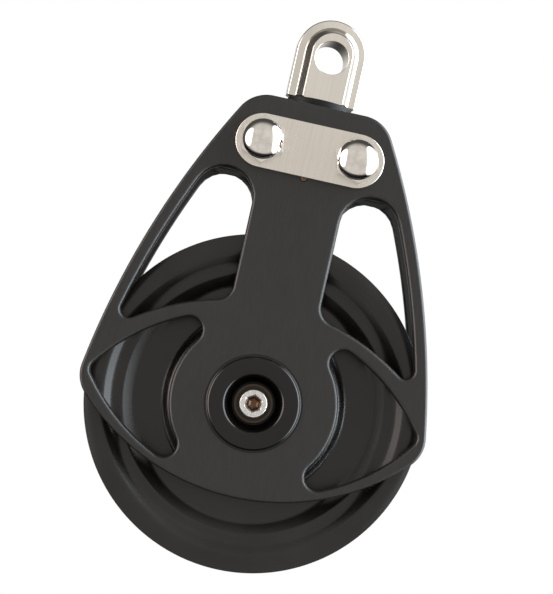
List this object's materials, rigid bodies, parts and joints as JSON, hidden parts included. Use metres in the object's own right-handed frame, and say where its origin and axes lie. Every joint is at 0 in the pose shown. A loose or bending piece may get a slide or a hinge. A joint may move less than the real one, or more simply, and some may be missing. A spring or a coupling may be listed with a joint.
{
  "type": "single sheave block",
  "caption": "Large single sheave block for a boat: black metal cheeks, a grooved roller-bearing sheave and a stainless swivel eye above a bolted head.",
  "frame": {"origin": "centre of the hole in the swivel eye", "axes": "+Z along the block from the sheave to the eye, which is the swivel's axis; +Y along the sheave's axle from front to rear; +X across the cheeks to the right as seen from the front"},
  "size_m": [0.1642, 0.0707, 0.2658],
  "materials": {
    "anodised_cheek": "black hard anodised, satin",
    "anodised_sheave": "black hard anodised, smooth turned",
    "head_black": "black hard anodised, satin",
    "satin_stainless": "satin stainless steel",
    "polished_stainless": "polished stainless steel",
    "screw_steel": "turned stainless steel",
    "dark_steel": "dark oxidised steel, smooth",
    "bearing_steel": "ground steel",
    "bronze": "dull bronze",
    "acetal_black": "matt black acetal"
  },
  "bodies": {
    "eye": {"swivel_eye": "satin_stainless", "swivel_nut": "bearing_steel", "swivel_thrust_washer": "bronze", "nut_lock_pin": "bearing_steel"},
    "block": {"head_block": "head_black", "head_washer": "acetal_black", "head_bolt_left": "polished_stainless", "head_bolt_right": "polished_stainless", "head_nut_left": "polished_stainless", "head_nut_right": "polished_stainless", "axle": "bearing_steel", "inner_race": "bearing_steel", "front_cheek": "anodised_cheek", "rear_cheek": "anodised_cheek", "front_head_plate": "satin_stainless", "rear_head_plate": "satin_stainless", "front_axle_disc": "anodised_sheave", "rear_axle_disc": "anodised_sheave", "front_axle_washer": "dark_steel", "rear_axle_washer": "dark_steel", "front_axle_screw": "screw_steel", "rear_axle_screw": "screw_steel", "front_cheek_pin": "bronze", "rear_cheek_pin": "bronze", "front_thrust_ring": "acetal_black", "rear_thrust_ring": "acetal_black"},
    "sheave": {"sheave": "anodised_sheave", "outer_race": "bearing_steel", "front_race_ring": "bearing_steel", "rear_race_ring": "bearing_steel"},
    "rollers": {"roller_cage": "bronze", "roller_01": "bearing_steel", "roller_02": "bearing_steel", "roller_03": "bearing_steel", "roller_04": "bearing_steel", "roller_05": "bearing_steel", "roller_06": "bearing_steel", "roller_07": "bearing_steel", "roller_08": "bearing_steel", "roller_09": "bearing_steel", "roller_10": "bearing_steel", "roller_11": "bearing_steel", "roller_12": "bearing_steel", "roller_13": "bearing_steel", "roller_14": "bearing_steel"}
  },
  "joints": [
    {"name": "eye_swivel", "type": "hinge", "parent": "eye", "child": "block", "pos_m": [0, 0, -0.03], "axis": [0, 0, 1], "continuous": true},
    {"name": "sheave_spin", "type": "hinge", "parent": "block", "child": "sheave", "pos_m": [0, 0, -0.167], "axis": [0, 1, 0], "continuous": true},
    {"name": "roller_orbit", "type": "hinge", "parent": "block", "child": "rollers", "pos_m": [0, 0, -0.167], "axis": [0, 1, 0], "continuous": true}
  ],
  "couplings": [
    {"joint": "roller_orbit", "follows": "sheave_spin", "ratio": 0.58656}
  ]
}
